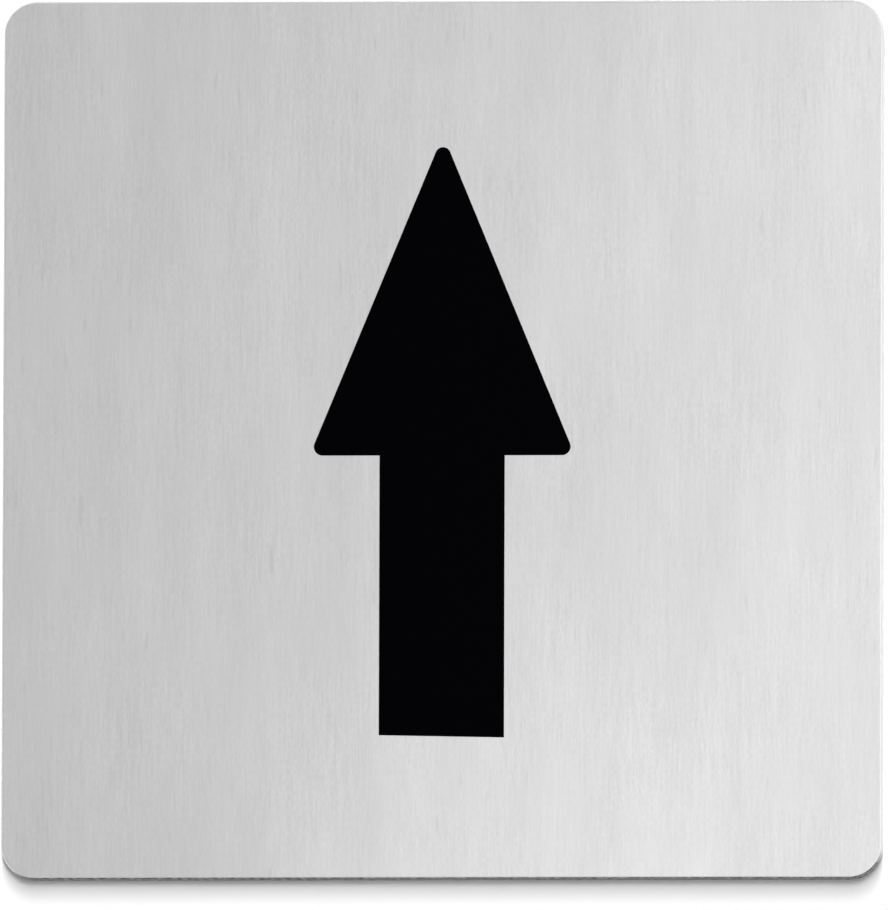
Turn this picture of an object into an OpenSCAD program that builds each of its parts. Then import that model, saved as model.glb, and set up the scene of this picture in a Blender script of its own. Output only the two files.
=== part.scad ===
// Square wall sign with an upright arrow: a steel plate with the arrow etched
// into its brushed face and filled with black enamel, stuck up by a foam pad.
// It hangs upright, with X to the reader's right, Z up and the face towards -Y.
// The origin is the middle of the pad's back, on the wall.

/* [Plate] */
// Width and height of the square plate
plate_size = 85; // [70:1:150]
// Thickness of the steel sheet
plate_thick = 3; // [1:0.1:4]
// Radius of the plate's four corners
corner_r = 3.2; // [1:0.1:10]
// Round on the front edge, where the blank was polished
front_edge_r = 0.2; // [0.1:0.05:0.45]
// Round on the back edge, where only the burr was taken off
back_edge_r = 0.1; // [0.05:0.05:0.4]

/* [Arrow] */
// Height of the arrow, from the middle of its foot to its tip
arrow_h = 57.1; // [45:0.1:62]
// How far the arrow's middle lies below the plate's
arrow_drop = 0.25; // [0:0.05:2]
// Height of the head, from its base to its tip
head_h = 29.9; // [26:0.1:36]
// Angle between the head's two long sides
tip_angle = 44.8; // [38:0.1:56]
// Radius of the head's tip
tip_r = 0.75; // [0.3:0.05:2]
// Radius of the head's two lower corners
head_corner_r = 0.85; // [0.3:0.05:2]
// Width of the stem
stem_w = 12.1; // [8:0.1:16]
// Slope of the foot, in degrees, down to the reader's right
foot_slope = 1.1; // [0:0.1:3]
// Depth that the arrow is etched below the face
recess_depth = 0.3; // [0.15:0.05:0.8]
// How far the enamel stays below the face
fill_below = 0.04; // [0:0.01:0.1]

/* [Adhesive pad] */
// Thickness of the foam pad
pad_thick = 1; // [0.5:0.1:3]
// Distance of the pad's edge inside the plate's
pad_inset = 6; // [2:0.5:15]
// Radius of the pad's corners
pad_corner_r = 2; // [0.5:0.1:5]

/* [Hidden] */
$fn = 72;

// Length by which a cut runs past the face that it opens
cut_past = 1;

// Levels above the wall, counted outwards through the sign
plate_back = pad_thick;
face_level = plate_back + plate_thick;
recess_floor = face_level - recess_depth;
fill_level = face_level - fill_below;

// Heights on the face, counted up from the plate's middle
foot_y = -arrow_drop - arrow_h / 2;
tip_y = foot_y + arrow_h;
base_y = tip_y - head_h;

// The head's long sides would meet at the apex, a little above its rounded tip
half_angle = tip_angle / 2;
tip_centre = [0, tip_y - tip_r];
apex_y = tip_centre[1] + tip_r / sin(half_angle);

// Centre of the round at the head's lower right corner, which touches that side and the base
corner_centre_y = base_y + head_corner_r;
corner_reach = (apex_y - corner_centre_y) * sin(half_angle) - head_corner_r;
corner_centre = [corner_reach / cos(half_angle), corner_centre_y];

// Stands a sign that is drawn lying on its back up against the wall
module upright() {
    rotate([90, 0, 0])
        children();
}

// Section of a slab's rim, from the slab's inside out to its rounded edges
module rim_section(reach, thick, front_r, back_r) {
    polygon([
        [0, 0],
        [reach - back_r, 0],
        [reach, back_r],
        [reach, thick - front_r],
        [reach - front_r, thick],
        [0, thick]
    ]);
    if (front_r > 0)
        translate([reach - front_r, thick - front_r])
            circle(r = front_r);
    if (back_r > 0)
        translate([reach - back_r, back_r])
            circle(r = back_r);
}

// Square slab: a core with a straight rim along each side, and the same rim turned round each corner
module slab(size, thick, r, front_r = 0, back_r = 0) {
    core = size - 2 * r;
    translate([-core / 2, -core / 2, 0])
        cube([core, core, thick]);
    for (turn = [0:90:270])
        rotate([0, 0, turn])
            translate([core / 2, core / 2, 0]) {
                rotate_extrude(angle = 90)
                    rim_section(r, thick, front_r, back_r);
                rotate([90, 0, 0])
                    linear_extrude(height = core)
                        rim_section(r, thick, front_r, back_r);
            }
}

// Straight sides of the arrow's head, cut off where its three rounds begin
module head_sides() {
    side_normal = [cos(half_angle), sin(half_angle)];
    side_top = tip_centre + tip_r * side_normal;
    side_foot = corner_centre + head_corner_r * side_normal;
    polygon([
        side_top,
        side_foot,
        [corner_centre[0], base_y],
        [-corner_centre[0], base_y],
        [-side_foot[0], side_foot[1]],
        [-side_top[0], side_top[1]]
    ]);
}

// Sides and sloping foot of the arrow's stem, which runs a little way up into the head
module stem_sides() {
    foot_fall = tan(foot_slope) * stem_w / 2;
    stem_top_y = base_y + head_corner_r;
    polygon([
        [-stem_w / 2, foot_y + foot_fall],
        [stem_w / 2, foot_y - foot_fall],
        [stem_w / 2, stem_top_y],
        [-stem_w / 2, stem_top_y]
    ]);
}

// The whole arrow at one depth, for the recess and for what fills it
module arrow(depth) {
    linear_extrude(height = depth)
        head_sides();
    translate(tip_centre)
        cylinder(r = tip_r, h = depth);
    for (way = [-1, 1])
        translate([way * corner_centre[0], corner_centre[1]])
            cylinder(r = head_corner_r, h = depth);
    linear_extrude(height = depth)
        stem_sides();
}

module plate() {
    color("silver")
        upright()
            difference() {
                translate([0, 0, plate_back])
                    slab(plate_size, plate_thick, corner_r, front_edge_r, back_edge_r);
                translate([0, 0, recess_floor])
                    arrow(recess_depth + cut_past);
            }
}

module arrow_fill() {
    color("black")
        upright()
            translate([0, 0, recess_floor])
                arrow(fill_level - recess_floor);
}

module adhesive_pad() {
    color("whitesmoke")
        upright()
            slab(plate_size - 2 * pad_inset, pad_thick, pad_corner_r);
}

plate();
arrow_fill();
adhesive_pad();
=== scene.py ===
"""Looks of a small steel arrow sign: its finishes, the pale wall and floor, soft light and the camera."""

import math

import bmesh
import bpy
from bpy.props import FloatProperty, FloatVectorProperty, PointerProperty
from mathutils import Matrix, Vector, noise


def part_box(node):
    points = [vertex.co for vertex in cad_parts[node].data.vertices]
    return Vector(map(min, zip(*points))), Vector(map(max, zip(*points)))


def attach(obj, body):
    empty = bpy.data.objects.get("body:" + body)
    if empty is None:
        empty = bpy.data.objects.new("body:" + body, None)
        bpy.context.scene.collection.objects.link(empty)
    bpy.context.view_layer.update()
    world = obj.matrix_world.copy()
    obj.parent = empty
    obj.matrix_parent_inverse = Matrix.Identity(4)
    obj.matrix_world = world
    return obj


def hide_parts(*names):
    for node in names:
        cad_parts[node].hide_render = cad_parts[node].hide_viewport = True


bl_info = {
    "name": "Arrow Sign Looks",
    "version": (1, 0, 0),
    "blender": (4, 5, 0),
    "location": "View3D > Sidebar > Arrow Sign",
    "description": "Finishes, wall, light and camera for a small steel arrow sign",
    "category": "Object",
}

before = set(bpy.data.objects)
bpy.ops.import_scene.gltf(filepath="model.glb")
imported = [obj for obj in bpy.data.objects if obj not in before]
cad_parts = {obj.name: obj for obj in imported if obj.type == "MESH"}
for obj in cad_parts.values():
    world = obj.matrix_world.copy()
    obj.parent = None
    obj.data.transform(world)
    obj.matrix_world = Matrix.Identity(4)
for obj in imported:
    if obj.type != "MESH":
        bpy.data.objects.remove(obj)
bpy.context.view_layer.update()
MM = 0.001

# The sign is fixed in its frame: X to the reader's right, Z up, and its face towards -Y
PLATE_LOW, PLATE_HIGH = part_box("plate")
PAD_LOW, PAD_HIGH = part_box("adhesive_pad")
PLATE_HALF = (PLATE_HIGH.x - PLATE_LOW.x) / 2
PAD_HALF = (PAD_HIGH.x - PAD_LOW.x) / 2
PLATE_CENTRE = (PLATE_LOW + PLATE_HIGH) / 2


def from_hex(code):
    """An sRGB hex colour as the linear values that Blender takes."""
    shares = [int(code[i : i + 2], 16) / 255 for i in (0, 2, 4)]
    return tuple(c / 12.92 if c <= 0.04045 else ((c + 0.055) / 1.055) ** 2.4 for c in shares)


def shown(colour):
    """A property's three colour values with the full alpha that a socket wants."""
    return (*colour, 1.0)


def per_metre(size_mm):
    """How many of a pattern's cells, each size_mm across, fit in a metre."""
    return 1000.0 / size_mm


def add_node(tree, kind, inputs=None, **settings):
    """Adds a node to a tree, applies its settings, and fills or links its inputs."""
    made = tree.nodes.new(kind)
    for name, value in settings.items():
        setattr(made, name, value)
    for name, value in (inputs or {}).items():
        socket = made.inputs[name]
        if isinstance(value, bpy.types.NodeSocket):
            tree.links.new(value, socket)
        else:
            socket.default_value = value
    return made


def new_material(name):
    """An empty node material and its tree."""
    material = bpy.data.materials.new(name)
    material.use_nodes = True
    material.node_tree.nodes.clear()
    return material, material.node_tree


def dress(node_name, material):
    """Gives a CAD node's object its finish in the slot that it already has."""
    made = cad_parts[node_name]
    made.material_slots[0].material = material
    return made


class PlateFinish(bpy.types.PropertyGroup):
    """Brushed stainless steel: sheet drawn under an abrasive belt from top to bottom."""

    groove_colour: FloatVectorProperty(
        name="Groove colour",
        description="Steel in the bottom of the brush lines",
        subtype="COLOR",
        min=0,
        max=1,
        default=from_hex("B7B7B7"),
    )
    ridge_colour: FloatVectorProperty(
        name="Ridge colour",
        description="Steel on the ridges between the brush lines",
        subtype="COLOR",
        min=0,
        max=1,
        default=from_hex("C5C5C5"),
    )
    edge_colour: FloatVectorProperty(
        name="Edge colour",
        description="Steel on the rounds and on the smooth sides",
        subtype="COLOR",
        min=0,
        max=1,
        default=from_hex("F2F2F2"),
    )
    # Painted shade: this darker colour on the lower side stands in for the shade that falls there
    lower_side_shade_colour: FloatVectorProperty(
        name="Torn edge colour",
        description="Steel on the lower side, where the belt tears it",
        subtype="COLOR",
        min=0,
        max=1,
        default=from_hex("9C9C9C"),
    )
    line_width: FloatProperty(
        name="Brush line width",
        description="Width of a brush line, in millimetres",
        min=0.05,
        max=1,
        default=0.17,
    )
    line_length: FloatProperty(
        name="Brush line length",
        description="Length of a short brush line, in millimetres",
        min=0.2,
        max=40,
        default=0.5,
    )


class EnamelFinish(bpy.types.PropertyGroup):
    """Black stoving enamel, filled into the etched arrow and wiped level."""

    colour: FloatVectorProperty(
        name="Enamel colour",
        description="Colour of the enamel in the arrow",
        subtype="COLOR",
        min=0,
        max=1,
        default=from_hex("010102"),
    )


class PadFinish(bpy.types.PropertyGroup):
    """White polyethylene foam tape, die-cut, with acrylic adhesive on both faces."""

    foam_colour: FloatVectorProperty(
        name="Foam colour",
        description="Colour of the foam core",
        subtype="COLOR",
        min=0,
        max=1,
        default=from_hex("F2F2F0"),
    )
    corner_radius: FloatProperty(
        name="Corner radius",
        description="Radius of the pad's cut corners",
        subtype="DISTANCE",
        min=0.0005,
        max=0.01,
        default=2 * MM,
    )
    pinch: FloatProperty(
        name="Edge pinch",
        description="How far the foam draws in between its two sticky films",
        subtype="DISTANCE",
        min=0,
        max=0.0005,
        default=0.14 * MM,
    )
    cell_size: FloatProperty(
        name="Foam cell size",
        description="Size of the cut cells along the pad's edge",
        subtype="DISTANCE",
        min=0.0001,
        max=0.002,
        default=0.45 * MM,
    )


class StageSettings(bpy.types.PropertyGroup):
    """Pale wall and floor, soft light, and the camera."""

    wall_colour: FloatVectorProperty(
        name="Wall colour",
        description="Matt paint on the wall",
        subtype="COLOR",
        min=0,
        max=1,
        default=from_hex("FAFAFA"),
    )
    floor_colour: FloatVectorProperty(
        name="Floor colour",
        description="Matt paint on the floor",
        subtype="COLOR",
        min=0,
        max=1,
        default=from_hex("CFCFCF"),
    )
    azimuth: FloatProperty(
        name="Camera azimuth",
        description="How far the camera stands to the reader's right of square on",
        subtype="ANGLE",
        default=math.radians(3.0),
    )
    elevation: FloatProperty(
        name="Camera elevation",
        description="How far the camera stands above the sign, negative below",
        subtype="ANGLE",
        default=math.radians(-5.3),
    )
    distance: FloatProperty(
        name="Camera distance",
        description="Distance from the camera to the plate",
        subtype="DISTANCE",
        min=0.2,
        default=3.0,
    )
    framed_height: FloatProperty(
        name="Framed height",
        description="Height that the picture takes in at the plate",
        subtype="DISTANCE",
        min=0.02,
        default=87.8 * MM,
    )


# Brushed stainless steel

# Roughness of the face, in its grooves and on its ridges, then of the rounds and of the darker lower side
GROOVE_ROUGHNESS = 0.465
RIDGE_ROUGHNESS = 0.45
ROUND_ROUGHNESS = 0.7
LOWER_SIDE_ROUGHNESS = 0.68

# Painted shade on the sides that face down: it starts and is full where a side faces this much downwards,
# and leans so that it reaches further round the lower right corner
SHADE_LEAN = -0.3
SHADE_BEGINS, SHADE_FULL = -0.4, -0.8

# The darkest speckles in the lower side's painted shade, and the size of the sides' grains in millimetres
SHADE_SPECKLE_COLOUR = from_hex("1C1C1C")
SIDE_GRAIN = 0.5

# Widths and lengths of the patches, the worn places of the belt and the scuffs, in millimetres
PATCH_WIDTH, PATCH_LENGTH = 6, 32
WORN_PLACE = 9
SCUFF_WIDTH, SCUFF_LENGTH = 0.8, 4.5

# Painted highlight on the face, a lighter area that stands in for more light falling there: its middle
# and its reach, both across and up, and its gain
HIGHLIGHT_X, HIGHLIGHT_Z = 8 * MM, -52 * MM
HIGHLIGHT_REACH_X, HIGHLIGHT_REACH_Z = 44 * MM, 54 * MM
HIGHLIGHT_GAIN = 1.18


def brushed_steel(finish):
    """Stainless sheet brushed from top to bottom, with eased rounds and cut sides.

    A belt leaves fine grooves along Z that smear every reflection sideways, so the face looks
    soft across and clear along. The shortest strokes end within a millimetre, and the longest
    run on for two centimetres.
    """
    material, tree = new_material("brushed_stainless_steel")
    place = add_node(tree, "ShaderNodeTexCoord")
    normal = add_node(tree, "ShaderNodeSeparateXYZ", {0: place.outputs["Normal"]})
    facing = add_node(tree, "ShaderNodeMath", {0: normal.outputs["Y"]}, operation="ABSOLUTE")

    # How far a spot belongs to the flat face, and how far to a side, with the rounds in between
    on_face = add_node(
        tree,
        "ShaderNodeMapRange",
        {"Value": facing.outputs[0], "From Min": 0.9, "From Max": 0.995},
        interpolation_type="SMOOTHSTEP",
    )
    on_side = add_node(
        tree,
        "ShaderNodeMapRange",
        {"Value": facing.outputs[0], "From Min": 0.95, "From Max": 0.6},
        interpolation_type="SMOOTHSTEP",
    )
    # Painted shade: the sides that face down, and most of the lower right corner, take a darker colour
    facing_down = add_node(
        tree,
        "ShaderNodeMath",
        {0: normal.outputs["X"], 1: SHADE_LEAN, 2: normal.outputs["Z"]},
        operation="MULTIPLY_ADD",
    )
    downward_shade = add_node(
        tree,
        "ShaderNodeMapRange",
        {"Value": facing_down.outputs[0], "From Min": SHADE_BEGINS, "From Max": SHADE_FULL},
        interpolation_type="SMOOTHSTEP",
    )
    in_painted_shade = add_node(
        tree,
        "ShaderNodeMath",
        {0: on_side.outputs[0], 1: downward_shade.outputs[0]},
        operation="MULTIPLY",
    )

    # Grit of the belt is near 0.05 mm; its lines are drawn 0.17 mm wide, the finest that shows.
    # Each layer of strokes has a width and a length in millimetres, and its share of the whole
    layers = (
        (finish.line_width, finish.line_length, 0.46),
        (finish.line_width, finish.line_length * 5, 0.4),
        (finish.line_width * 2.5, finish.line_length * 40, 0.14),
    )
    strokes = None
    for width, length, share in layers:
        stretched = add_node(
            tree,
            "ShaderNodeMapping",
            {
                "Vector": place.outputs["Object"],
                "Scale": (per_metre(width), per_metre(length), per_metre(length)),
            },
        )
        lines = add_node(
            tree,
            "ShaderNodeTexNoise",
            {"Vector": stretched.outputs[0], "Scale": 1.0, "Detail": 0.0},
        )
        part = add_node(
            tree, "ShaderNodeMath", {0: lines.outputs["Fac"], 1: share}, operation="MULTIPLY"
        )
        if strokes is None:
            strokes = part
        else:
            strokes = add_node(tree, "ShaderNodeMath", {0: strokes.outputs[0], 1: part.outputs[0]})

    # The belt bears harder in some places than in others, over patches drawn out down the sheet
    drawn_out = add_node(
        tree,
        "ShaderNodeMapping",
        {
            "Vector": place.outputs["Object"],
            "Scale": (per_metre(PATCH_WIDTH), 0, per_metre(PATCH_LENGTH)),
        },
    )
    patches = add_node(
        tree,
        "ShaderNodeTexNoise",
        {"Vector": drawn_out.outputs[0], "Scale": 1.0, "Detail": 3.0},
    )
    worn_belt = add_node(
        tree,
        "ShaderNodeTexNoise",
        {"Vector": place.outputs["Object"], "Scale": per_metre(WORN_PLACE), "Detail": 1.0},
    )
    bite = add_node(
        tree,
        "ShaderNodeMapRange",
        {
            "Value": worn_belt.outputs["Fac"],
            "From Min": 0.35,
            "From Max": 0.65,
            "To Min": 0.45,
            "To Max": 0.9,
        },
    )
    cut_lines = add_node(
        tree,
        "ShaderNodeMix",
        {0: bite.outputs[0], 2: 0.5, 3: strokes.outputs[0]},
        data_type="FLOAT",
    )
    pressed = add_node(
        tree,
        "ShaderNodeMath",
        {0: patches.outputs["Fac"], 1: 0.48, 2: cut_lines.outputs[0]},
        operation="MULTIPLY_ADD",
    )

    # Here and there a coarse grain of grit leaves a darker scuff, a few millimetres long
    spread = add_node(
        tree,
        "ShaderNodeMapping",
        {
            "Vector": place.outputs["Object"],
            "Scale": (per_metre(SCUFF_WIDTH), 0, per_metre(SCUFF_LENGTH)),
        },
    )
    grit = add_node(
        tree, "ShaderNodeTexNoise", {"Vector": spread.outputs[0], "Scale": 1.0, "Detail": 1.0}
    )
    scuffs = add_node(
        tree,
        "ShaderNodeMapRange",
        {"Value": grit.outputs["Fac"], "From Min": 0.68, "From Max": 0.8, "To Max": 0.28},
    )
    scuffed = add_node(
        tree, "ShaderNodeMath", {0: pressed.outputs[0], 1: scuffs.outputs[0]}, operation="SUBTRACT"
    )
    brushing = add_node(
        tree,
        "ShaderNodeMapRange",
        {"Value": scuffed.outputs[0], "From Min": 0.52, "From Max": 0.96},
    )
    face_colour = add_node(
        tree,
        "ShaderNodeMix",
        {
            0: brushing.outputs[0],
            6: shown(finish.groove_colour),
            7: shown(finish.ridge_colour),
        },
        data_type="RGBA",
    )

    # Painted highlight: the face's colour is made lighter low in the middle, standing in for more light
    # falling there
    from_painted_highlight = add_node(
        tree,
        "ShaderNodeMapping",
        {
            "Vector": place.outputs["Object"],
            "Location": (HIGHLIGHT_X, 0, HIGHLIGHT_Z),
            "Scale": (HIGHLIGHT_REACH_X, 0, HIGHLIGHT_REACH_Z),
        },
        vector_type="TEXTURE",
    )
    distance = add_node(
        tree, "ShaderNodeVectorMath", {0: from_painted_highlight.outputs[0]}, operation="LENGTH"
    )
    painted_highlight = add_node(
        tree,
        "ShaderNodeMapRange",
        {"Value": distance.outputs["Value"], "From Max": 1.0, "To Min": HIGHLIGHT_GAIN, "To Max": 1.0},
        interpolation_type="SMOOTHSTEP",
    )
    colour_with_painted_highlight = add_node(
        tree,
        "ShaderNodeVectorMath",
        {0: face_colour.outputs[2], "Scale": painted_highlight.outputs[0]},
        operation="SCALE",
    )

    # The sides' grain, a few tenths of a millimetre across, mottles the lower side and the lower right
    # corner, and their colour is darkened there as painted shade
    side_grain = add_node(
        tree,
        "ShaderNodeTexNoise",
        {"Vector": place.outputs["Object"], "Scale": per_metre(SIDE_GRAIN), "Detail": 2.0},
    )
    side_shade = add_node(
        tree,
        "ShaderNodeMapRange",
        {"Value": side_grain.outputs["Fac"], "From Min": 0.38, "From Max": 0.64},
    )
    lower_side_colour = add_node(
        tree,
        "ShaderNodeMix",
        {0: side_shade.outputs[0], 6: shown(SHADE_SPECKLE_COLOUR), 7: shown(finish.lower_side_shade_colour)},
        data_type="RGBA",
    )
    smooth_colour = add_node(
        tree,
        "ShaderNodeMix",
        {0: on_face.outputs[0], 6: shown(finish.edge_colour), 7: colour_with_painted_highlight.outputs[0]},
        data_type="RGBA",
    )
    colour = add_node(
        tree,
        "ShaderNodeMix",
        {0: in_painted_shade.outputs[0], 6: smooth_colour.outputs[2], 7: lower_side_colour.outputs[2]},
        data_type="RGBA",
    )

    # The brushed face shines the most, and the rounds and sides are dulled by fine scratches
    face_rough = add_node(
        tree,
        "ShaderNodeMapRange",
        {"Value": brushing.outputs[0], "To Min": GROOVE_ROUGHNESS, "To Max": RIDGE_ROUGHNESS},
    )
    round_rough = add_node(
        tree,
        "ShaderNodeMix",
        {0: on_face.outputs[0], 2: ROUND_ROUGHNESS, 3: face_rough.outputs[0]},
        data_type="FLOAT",
    )
    rough = add_node(
        tree,
        "ShaderNodeMix",
        {0: in_painted_shade.outputs[0], 2: round_rough.outputs[0], 3: LOWER_SIDE_ROUGHNESS},
        data_type="FLOAT",
    )

    # Reflections smear across the grooves, which run along Z on the face and through the thickness
    # on the sides. On the face the product is nought, and a small step along X stands in for it
    along_rim = add_node(
        tree,
        "ShaderNodeVectorMath",
        {0: place.outputs["Normal"], 1: (0, 1, 0)},
        operation="CROSS_PRODUCT",
    )
    tangent = add_node(
        tree, "ShaderNodeVectorMath", {0: along_rim.outputs[0], 1: (0.05, 0, 0)}, operation="ADD"
    )
    grain_height = add_node(
        tree,
        "ShaderNodeMix",
        {0: on_face.outputs[0], 2: side_grain.outputs["Fac"], 3: strokes.outputs[0]},
        data_type="FLOAT",
    )
    relief = add_node(
        tree,
        "ShaderNodeBump",
        {"Height": grain_height.outputs[0], "Strength": 0.2, "Distance": 0.01 * MM},
    )
    steel = add_node(
        tree,
        "ShaderNodeBsdfPrincipled",
        {
            "Base Color": colour.outputs[2],
            "Metallic": 1.0,
            "Roughness": rough.outputs[0],
            "Anisotropic": 0.7,
            "Tangent": tangent.outputs[0],
            "Normal": relief.outputs[0],
        },
    )
    add_node(tree, "ShaderNodeOutputMaterial", {"Surface": steel.outputs[0]})
    return material


# Black enamel

# Size of the ripples left by the wet film, in millimetres, and the roughness across them
RIPPLE = 1.5
ENAMEL_ROUGH_LOW, ENAMEL_ROUGH_HIGH = 0.42, 0.58

# The enamel is matted, and reflects next to nothing
ENAMEL_SPECULAR = 0.01


def black_enamel(finish):
    """Stoving enamel run into the recess: a dense, flat black with a wet film's faint ripple."""
    material, tree = new_material("black_enamel")
    place = add_node(tree, "ShaderNodeTexCoord")
    ripple = add_node(
        tree,
        "ShaderNodeTexNoise",
        {"Vector": place.outputs["Object"], "Scale": per_metre(RIPPLE), "Detail": 2.0},
    )
    rough = add_node(
        tree,
        "ShaderNodeMapRange",
        {
            "Value": ripple.outputs["Fac"],
            "To Min": ENAMEL_ROUGH_LOW,
            "To Max": ENAMEL_ROUGH_HIGH,
        },
    )
    relief = add_node(
        tree,
        "ShaderNodeBump",
        {"Height": ripple.outputs["Fac"], "Strength": 0.3, "Distance": 0.02 * MM},
    )
    enamel = add_node(
        tree,
        "ShaderNodeBsdfPrincipled",
        {
            "Base Color": shown(finish.colour),
            "Roughness": rough.outputs[0],
            "Specular IOR Level": ENAMEL_SPECULAR,
            "Normal": relief.outputs[0],
        },
    )
    add_node(tree, "ShaderNodeOutputMaterial", {"Surface": enamel.outputs[0]})
    return material


# Foam pad

# Darker colour in the hollows of the foam's cells, as painted shade in the hollows
HOLLOW_SHADE_COLOUR = from_hex("E2E2DF")

# Roughness of the cut edge and of the sticky back, and how strongly the adhesive bends light
EDGE_ROUGHNESS = 0.85
BACK_ROUGHNESS = 0.34
ADHESIVE_IOR = 1.47

# Thickness of each sticky film, and depth of the cells that the die cut open
FILM = 0.06 * MM
CELL_DEPTH = 0.06 * MM

# Fineness of the pad's mesh: rings within the foam, and points round each ring
CORE_RINGS = 7
RING_POINTS = 840


def foam_tape(finish):
    """Closed-cell polyethylene foam under clear acrylic adhesive: milky, and glossy on its back."""
    material, tree = new_material("foam_tape")
    place = add_node(tree, "ShaderNodeTexCoord")
    normal = add_node(tree, "ShaderNodeSeparateXYZ", {0: place.outputs["Normal"]})
    facing = add_node(tree, "ShaderNodeMath", {0: normal.outputs["Y"]}, operation="ABSOLUTE")
    cells = add_node(
        tree,
        "ShaderNodeTexVoronoi",
        {"Vector": place.outputs["Object"], "Scale": 1 / finish.cell_size},
    )
    # Painted shade: the foam is darker in the hollows of its cells
    shade = add_node(
        tree,
        "ShaderNodeMapRange",
        {"Value": cells.outputs["Distance"], "From Max": 0.8, "To Min": 0.1, "To Max": 1.0},
    )
    colour = add_node(
        tree,
        "ShaderNodeMix",
        {0: shade.outputs[0], 6: shown(HOLLOW_SHADE_COLOUR), 7: shown(finish.foam_colour)},
        data_type="RGBA",
    )
    rough = add_node(
        tree,
        "ShaderNodeMapRange",
        {
            "Value": facing.outputs[0],
            "From Min": 0.8,
            "From Max": 1.0,
            "To Min": EDGE_ROUGHNESS,
            "To Max": BACK_ROUGHNESS,
        },
    )
    relief = add_node(
        tree,
        "ShaderNodeBump",
        {"Height": cells.outputs["Distance"], "Strength": 0.25, "Distance": 0.05 * MM},
    )
    foam = add_node(
        tree,
        "ShaderNodeBsdfPrincipled",
        {
            "Base Color": colour.outputs[2],
            "Roughness": rough.outputs[0],
            "IOR": ADHESIVE_IOR,
            "Normal": relief.outputs[0],
        },
    )
    add_node(tree, "ShaderNodeOutputMaterial", {"Surface": foam.outputs[0]})
    return material


def square_outline(half, radius, count):
    """Evenly spaced points round a square with rounded corners, as (x, z)."""
    core = half - radius
    straight, arc = 2 * core, radius * math.pi / 2
    around = 4 * (straight + arc)
    points = []
    for i in range(count):
        quarter, along = divmod(i * around / count, straight + arc)
        if along < straight:
            spot = Vector((half, along - core))
        else:
            turn = (along - straight) / radius
            spot = Vector((core + radius * math.cos(turn), core + radius * math.sin(turn)))
        points.append(Matrix.Rotation(quarter * math.pi / 2, 2) @ spot)
    return points


def foam_pad_mesh(finish):
    """The die-cut pad: two sticky films, with the foam between them pinched in and open-celled."""
    thick = PAD_HIGH.y - PAD_LOW.y
    depths = [0.0, FILM]
    depths += [FILM + (thick - 2 * FILM) * i / (CORE_RINGS + 1) for i in range(1, CORE_RINGS + 1)]
    depths += [thick - FILM, thick]
    outline = square_outline(PAD_HALF, finish.corner_radius, RING_POINTS)
    mesh = bmesh.new()
    rings = []
    for depth in depths:
        drawn_in = finish.pinch * math.sin(math.pi * depth / thick)
        in_foam = FILM < depth < thick - FILM
        ring = []
        for spot in outline:
            place = Vector((spot.x, PAD_LOW.y + depth, spot.y))
            cut = 0.0
            if in_foam:
                cut = CELL_DEPTH * (0.5 + 0.5 * noise.noise(place / finish.cell_size))
            inward = 1 - (drawn_in + cut) / PAD_HALF
            ring.append(mesh.verts.new((place.x * inward, place.y, place.z * inward)))
        rings.append(ring)
    for low, high in zip(rings, rings[1:]):
        for i in range(RING_POINTS):
            j = (i + 1) % RING_POINTS
            mesh.faces.new((low[i], low[j], high[j], high[i])).smooth = True
    mesh.faces.new(rings[0])
    mesh.faces.new(reversed(rings[-1]))
    bmesh.ops.recalc_face_normals(mesh, faces=mesh.faces)
    made = bpy.data.meshes.new("foam_pad")
    mesh.to_mesh(made)
    mesh.free()
    return made


# Stage

# The wall stands a hair behind the pad, and the floor is at the foot of the wall
WALL_GAP = 0.02 * MM
WALL_HALF = 1.5
FLOOR_DROP = 1.2
FLOOR_HALF = 1.2
PANEL_POINTS = 96

# The wall is open behind the plate, so that the sign's back can be seen from behind
OPENING_INSET = 0.4 * MM
OPENING_RADIUS = 3.2 * MM

# Glow of the paint for eye and gloss, which takes it from just under white to white
PAINT_GLOW = 0.02

# Strength of the room: straight ahead in a reflection, on paint, and low down against the rest
ROOM_AHEAD = 0.909
ROOM_ON_PAINT = 0.18
ROOM_BELOW = 0.25

# The softboxes, each with its place, its width and height, its power in watts, what it faces,
# and whether a reflection shows it. The two strips far off cast the shadow below the sign, the
# panel at the side shines on the right of the face, and the last one lights the sign's back
LAMPS = {
    "upper_strip": ((0.10, -3.0, 0.95), (0.11, 1.3), 48.0, PLATE_CENTRE, False),
    "lower_strip": ((0.10, -3.0, 0.19), (0.11, 0.42), 36.0, PLATE_CENTRE, False),
    "side_softbox": ((0.10, -0.12, 0.0), (0.16, 0.18), 0.126, Vector((0.03, 0, 0)), True),
    "back_softbox": ((-0.5, 1.0, 0.5), (0.5, 0.5), 15.0, PLATE_CENTRE, False),
}

# Where the camera looks, from the plate's middle, and how far it is rolled
AIM_DROP = 1.56 * MM
AIM_RIGHT = 0.18 * MM
ROLL = math.radians(0.17)


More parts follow.
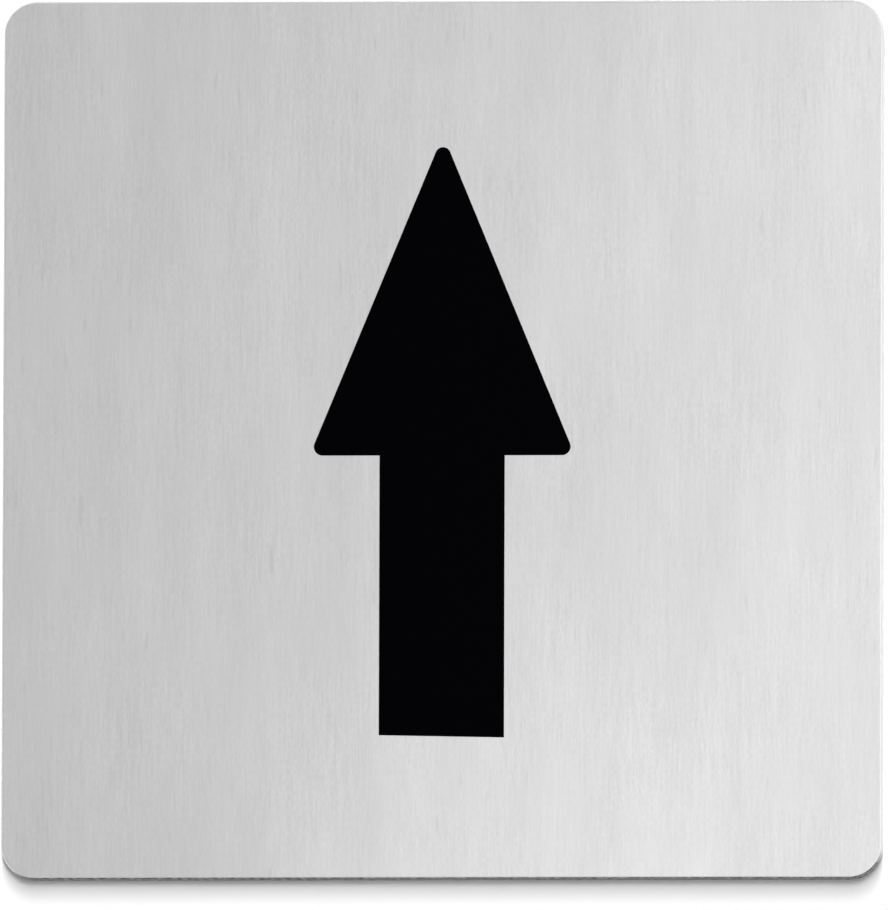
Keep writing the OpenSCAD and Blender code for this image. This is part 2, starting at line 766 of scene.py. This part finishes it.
def matt_paint(name, colour):
    """Pale emulsion, which keeps shadows and reads about as light as it is written.

    Seen from behind it is clear, so that the sign's back can be looked at through the wall.
    """
    material, tree = new_material(name)
    ray = add_node(tree, "ShaderNodeLightPath")
    side = add_node(tree, "ShaderNodeNewGeometry")
    paint = add_node(tree, "ShaderNodeBsdfDiffuse", {"Color": shown(colour)})
    seen = add_node(
        tree,
        "ShaderNodeMath",
        {0: ray.outputs["Is Camera Ray"], 1: ray.outputs["Is Glossy Ray"]},
        operation="MAXIMUM",
    )
    lift = add_node(
        tree, "ShaderNodeMath", {0: seen.outputs[0], 1: PAINT_GLOW}, operation="MULTIPLY"
    )
    glow = add_node(tree, "ShaderNodeEmission", {"Strength": lift.outputs[0]})
    both = add_node(tree, "ShaderNodeAddShader", {0: paint.outputs[0], 1: glow.outputs[0]})
    clear = add_node(tree, "ShaderNodeBsdfTransparent")
    one_sided = add_node(
        tree,
        "ShaderNodeMixShader",
        {0: side.outputs["Backfacing"], 1: both.outputs[0], 2: clear.outputs[0]},
    )
    add_node(tree, "ShaderNodeOutputMaterial", {"Surface": one_sided.outputs[0]})
    return material


def flat_panel(name, outer, inner, facing, place):
    """A wide flat panel within an outer outline, with an opening where an inner one is given."""
    mesh = bmesh.new()
    far = [mesh.verts.new(facing @ Vector((p.x, 0, p.y))) for p in outer]
    near = [mesh.verts.new(facing @ Vector((p.x, 0, p.y))) for p in inner]
    if near:
        for i in range(len(far)):
            j = (i + 1) % len(far)
            mesh.faces.new((near[i], far[i], far[j], near[j]))
    else:
        mesh.faces.new(far)
    made = bpy.data.meshes.new(name)
    mesh.to_mesh(made)
    mesh.free()
    panel = bpy.data.objects.new(name, made)
    panel.location = place
    bpy.context.scene.collection.objects.link(panel)
    return panel


def soft_lamp(name, place, size, power, target, in_gloss):
    """A softbox, as wide and high as size says, that isn't in the picture itself."""
    lamp = bpy.data.lights.new(name, "AREA")
    lamp.shape = "RECTANGLE"
    lamp.size, lamp.size_y = size
    lamp.energy = power
    made = bpy.data.objects.new(name, lamp)
    made.location = place
    made.rotation_mode = "QUATERNION"
    made.rotation_quaternion = (target - made.location).to_track_quat("-Z", "Y")
    made.visible_camera = False
    made.visible_glossy = in_gloss
    bpy.context.scene.collection.objects.link(made)
    return made


def studio_world():
    """Soft room light from all round, dim below, and white where the camera sees past the wall."""
    world = bpy.data.worlds.new("studio_room")
    world.use_nodes = True
    tree = world.node_tree
    tree.nodes.clear()
    ray = add_node(tree, "ShaderNodeLightPath")
    place = add_node(tree, "ShaderNodeTexCoord")
    way = add_node(tree, "ShaderNodeSeparateXYZ", {0: place.outputs["Generated"]})
    below = add_node(
        tree,
        "ShaderNodeMapRange",
        {
            "Value": way.outputs["Z"],
            "From Min": -0.5,
            "From Max": 0.0,
            "To Min": ROOM_BELOW,
            "To Max": 1.0,
        },
        interpolation_type="SMOOTHSTEP",
    )
    ahead = add_node(tree, "ShaderNodeMath", {0: way.outputs["Y"]}, operation="ABSOLUTE")
    gloss = add_node(
        tree,
        "ShaderNodeMapRange",
        {
            "Value": ahead.outputs[0],
            "From Min": 0.3,
            "From Max": 0.9,
            "To Min": 1.0,
            "To Max": ROOM_AHEAD,
        },
        interpolation_type="SMOOTHSTEP",
    )
    sloping = add_node(
        tree,
        "ShaderNodeMath",
        {0: ahead.outputs[0], 1: 0.8, 2: way.outputs["Z"]},
        operation="MULTIPLY_ADD",
    )
    under = add_node(
        tree,
        "ShaderNodeMapRange",
        {
            "Value": sloping.outputs[0],
            "From Min": -0.9,
            "From Max": -0.2,
            "To Min": ROOM_BELOW,
            "To Max": 1.0,
        },
        interpolation_type="SMOOTHSTEP",
    )
    in_gloss = add_node(
        tree, "ShaderNodeMath", {0: gloss.outputs[0], 1: under.outputs[0]}, operation="MULTIPLY"
    )
    in_paint = add_node(
        tree, "ShaderNodeMath", {0: below.outputs[0], 1: ROOM_ON_PAINT}, operation="MULTIPLY"
    )
    lit = add_node(
        tree,
        "ShaderNodeMix",
        {0: ray.outputs["Is Glossy Ray"], 2: in_paint.outputs[0], 3: in_gloss.outputs[0]},
        data_type="FLOAT",
    )
    seen = add_node(
        tree,
        "ShaderNodeMath",
        {0: ray.outputs["Is Camera Ray"], 1: ray.outputs["Is Transmission Ray"]},
        operation="MAXIMUM",
    )
    strength = add_node(
        tree, "ShaderNodeMix", {0: seen.outputs[0], 2: lit.outputs[0], 3: 1.0}, data_type="FLOAT"
    )
    room = add_node(
        tree,
        "ShaderNodeBackground",
        {"Color": (1, 1, 1, 1), "Strength": strength.outputs[0]},
    )
    add_node(tree, "ShaderNodeOutputWorld", {"Surface": room.outputs[0]})
    bpy.context.scene.world = world


def make_camera(settings):
    """A long lens from below and a little to the right, rolled so that the sign stands upright."""
    turn, rise = settings.azimuth, settings.elevation
    back = Vector(
        (math.sin(turn) * math.cos(rise), -math.cos(turn) * math.cos(rise), math.sin(rise))
    )
    aim = Vector((PLATE_CENTRE.x + AIM_RIGHT, PLATE_LOW.y, PLATE_CENTRE.z - AIM_DROP))
    view = bpy.data.cameras.new("camera")
    view.sensor_width = 36.0
    view.lens = view.sensor_width * settings.distance / settings.framed_height
    view.clip_start = 0.05
    view.clip_end = 20
    made = bpy.data.objects.new("camera", view)
    made.location = aim + back * settings.distance
    made.rotation_mode = "QUATERNION"
    aimed = (-back).to_track_quat("-Z", "Y")
    made.rotation_quaternion = aimed @ Matrix.Rotation(ROLL, 3, "Z").to_quaternion()
    bpy.context.scene.collection.objects.link(made)
    bpy.context.scene.camera = made


class ARROWSIGN_OT_brush_plate(bpy.types.Operator):
    """Give the plate its brushed steel face, eased rounds and cut sides"""

    bl_idname = "arrowsign.brush_plate"
    bl_label = "Brush the plate"

    def execute(self, context):
        dress("plate", brushed_steel(context.scene.arrowsign_plate))
        return {"FINISHED"}


class ARROWSIGN_OT_fill_arrow(bpy.types.Operator):
    """Fill the etched arrow with black enamel"""

    bl_idname = "arrowsign.fill_arrow"
    bl_label = "Fill the arrow"

    def execute(self, context):
        dress("arrow_fill", black_enamel(context.scene.arrowsign_enamel))
        return {"FINISHED"}


class ARROWSIGN_OT_stick_pad(bpy.types.Operator):
    """Build the foam pad that sticks the sign to the wall"""

    bl_idname = "arrowsign.stick_pad"
    bl_label = "Stick on the pad"

    def execute(self, context):
        finish = context.scene.arrowsign_pad
        pad = bpy.data.objects.new("foam_pad", foam_pad_mesh(finish))
        context.scene.collection.objects.link(pad)
        pad.data.materials.append(foam_tape(finish))
        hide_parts("adhesive_pad")
        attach(pad, "root")
        return {"FINISHED"}


class ARROWSIGN_OT_set_stage(bpy.types.Operator):
    """Set up the wall, the floor, the soft light and the camera"""

    bl_idname = "arrowsign.set_stage"
    bl_label = "Set the stage"

    def execute(self, context):
        settings = context.scene.arrowsign_stage
        wall = flat_panel(
            "wall",
            square_outline(WALL_HALF, WALL_HALF / 4, PANEL_POINTS),
            square_outline(PLATE_HALF - OPENING_INSET, OPENING_RADIUS, PANEL_POINTS),
            Matrix.Identity(3),
            (PLATE_CENTRE.x, PAD_HIGH.y + WALL_GAP, PLATE_CENTRE.z),
        )
        floor = flat_panel(
            "floor",
            square_outline(FLOOR_HALF, FLOOR_HALF / 4, PANEL_POINTS),
            [],
            Matrix.Rotation(math.radians(-90), 3, "X"),
            (PLATE_CENTRE.x, 0, -FLOOR_DROP),
        )
        wall.data.materials.append(matt_paint("matt_wall_paint", settings.wall_colour))
        floor.data.materials.append(matt_paint("matt_floor_paint", settings.floor_colour))
        lamps = {name: soft_lamp(name, *setup) for name, setup in LAMPS.items()}
        # The panel at the side would brighten the wall beside the sign, so it leaves out the stage
        left_out = bpy.data.collections.new("kept_from_side_lamp")
        lamps["side_softbox"].light_linking.receiver_collection = left_out
        for panel in (wall, floor):
            left_out.objects.link(panel)
        for item in left_out.collection_objects:
            item.light_linking.link_state = "EXCLUDE"
        studio_world()
        make_camera(settings)
        context.scene.view_settings.view_transform = "Standard"
        return {"FINISHED"}


OPERATORS = (
    ARROWSIGN_OT_set_stage,
    ARROWSIGN_OT_brush_plate,
    ARROWSIGN_OT_fill_arrow,
    ARROWSIGN_OT_stick_pad,
)


class VIEW3D_PT_arrow_sign(bpy.types.Panel):
    """Steps that dress the arrow sign"""

    bl_label = "Arrow Sign"
    bl_space_type = "VIEW_3D"
    bl_region_type = "UI"
    bl_category = "Arrow Sign"

    def draw(self, context):
        for step in OPERATORS:
            self.layout.operator(step.bl_idname)


SETTINGS = {
    "arrowsign_plate": PlateFinish,
    "arrowsign_enamel": EnamelFinish,
    "arrowsign_pad": PadFinish,
    "arrowsign_stage": StageSettings,
}


def register():
    """Registers the settings, the operators and the panel."""
    for name, group in SETTINGS.items():
        bpy.utils.register_class(group)
        setattr(bpy.types.Scene, name, PointerProperty(type=group))
    for made in (*OPERATORS, VIEW3D_PT_arrow_sign):
        bpy.utils.register_class(made)


def unregister():
    """Removes what register() added."""
    for made in (VIEW3D_PT_arrow_sign, *reversed(OPERATORS)):
        bpy.utils.unregister_class(made)
    for name, group in SETTINGS.items():
        delattr(bpy.types.Scene, name)
        bpy.utils.unregister_class(group)


def main():
    """Dresses the sign step by step."""
    register()
    bpy.ops.arrowsign.set_stage()
    bpy.ops.arrowsign.brush_plate()
    bpy.ops.arrowsign.fill_arrow()
    bpy.ops.arrowsign.stick_pad()


if __name__ == "__main__":
    main()
